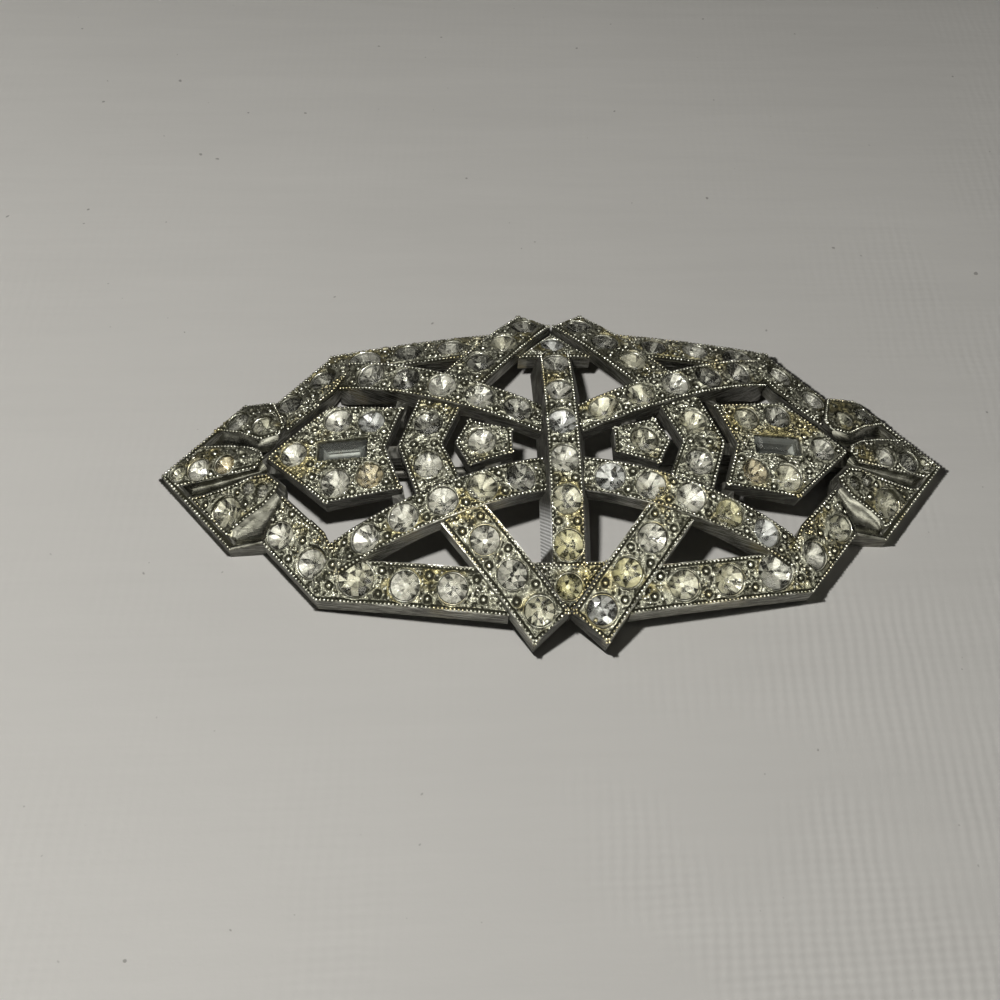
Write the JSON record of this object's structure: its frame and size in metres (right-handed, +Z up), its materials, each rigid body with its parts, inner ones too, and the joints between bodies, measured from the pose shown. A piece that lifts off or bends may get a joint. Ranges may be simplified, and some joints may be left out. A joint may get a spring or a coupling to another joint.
{
  "type": "brooch",
  "caption": "Long pierced and domed dress brooch: a silver-grey casting set with round and baguette cut stones, with a straight pin across the back.",
  "frame": {"origin": "centre of the bounding box, at its underside", "axes": "+X along the brooch to the right as seen from the front edge, +Y from the front edge to the back edge, +Z up out of its face"},
  "size_m": [0.07, 0.0332, 0.0073],
  "materials": {
    "setting_metal": "bright plated white metal, tarnished yellow and dark in the recesses",
    "pin_metal": "dull drawn steel",
    "clear_glass": "polished cut glass with a foil back",
    "grey_glass": "polished step-cut glass with a worn foil back"
  },
  "bodies": {
    "root": {"setting": "setting_metal", "pin_back": "pin_metal", "baguette_left": "grey_glass", "baguette_right": "grey_glass", "bar_stone_1": "clear_glass", "bar_stone_2": "clear_glass", "bar_stone_3": "clear_glass", "bar_stone_4": "clear_glass", "bar_stone_5": "clear_glass", "bar_stone_6": "clear_glass", "bar_end_stone_front": "clear_glass", "bar_end_stone_back": "clear_glass", "arc_stone_front_left_1": "clear_glass", "arc_stone_front_left_2": "clear_glass", "arc_stone_front_left_3": "clear_glass", "arc_stone_front_left_4": "clear_glass", "arc_stone_front_left_5": "clear_glass", "arc_stone_front_right_1": "clear_glass", "arc_stone_front_right_2": "clear_glass", "arc_stone_front_right_3": "clear_glass", "arc_stone_front_right_4": "clear_glass", "arc_stone_front_right_5": "clear_glass", "arc_stone_back_left_1": "clear_glass", "arc_stone_back_left_2": "clear_glass", "arc_stone_back_left_3": "clear_glass", "arc_stone_back_left_4": "clear_glass", "arc_stone_back_left_5": "clear_glass", "arc_stone_back_right_1": "clear_glass", "arc_stone_back_right_2": "clear_glass", "arc_stone_back_right_3": "clear_glass", "arc_stone_back_right_4": "clear_glass", "arc_stone_back_right_5": "clear_glass", "vee_stone_front_left_1": "clear_glass", "vee_stone_front_left_2": "clear_glass", "vee_stone_front_left_3": "clear_glass", "vee_stone_front_right_1": "clear_glass", "vee_stone_front_right_2": "clear_glass", "vee_stone_front_right_3": "clear_glass", "vee_stone_back_left_1": "clear_glass", "vee_stone_back_left_2": "clear_glass", "vee_stone_back_left_3": "clear_glass", "vee_stone_back_right_1": "clear_glass", "vee_stone_back_right_2": "clear_glass", "vee_stone_back_right_3": "clear_glass", "side_stones_left": "clear_glass", "side_stones_right": "clear_glass", "rail_stones_front": "clear_glass", "rail_stones_back": "clear_glass", "block_stones_left": "clear_glass", "block_stones_right": "clear_glass"}
  },
  "joints": []
}
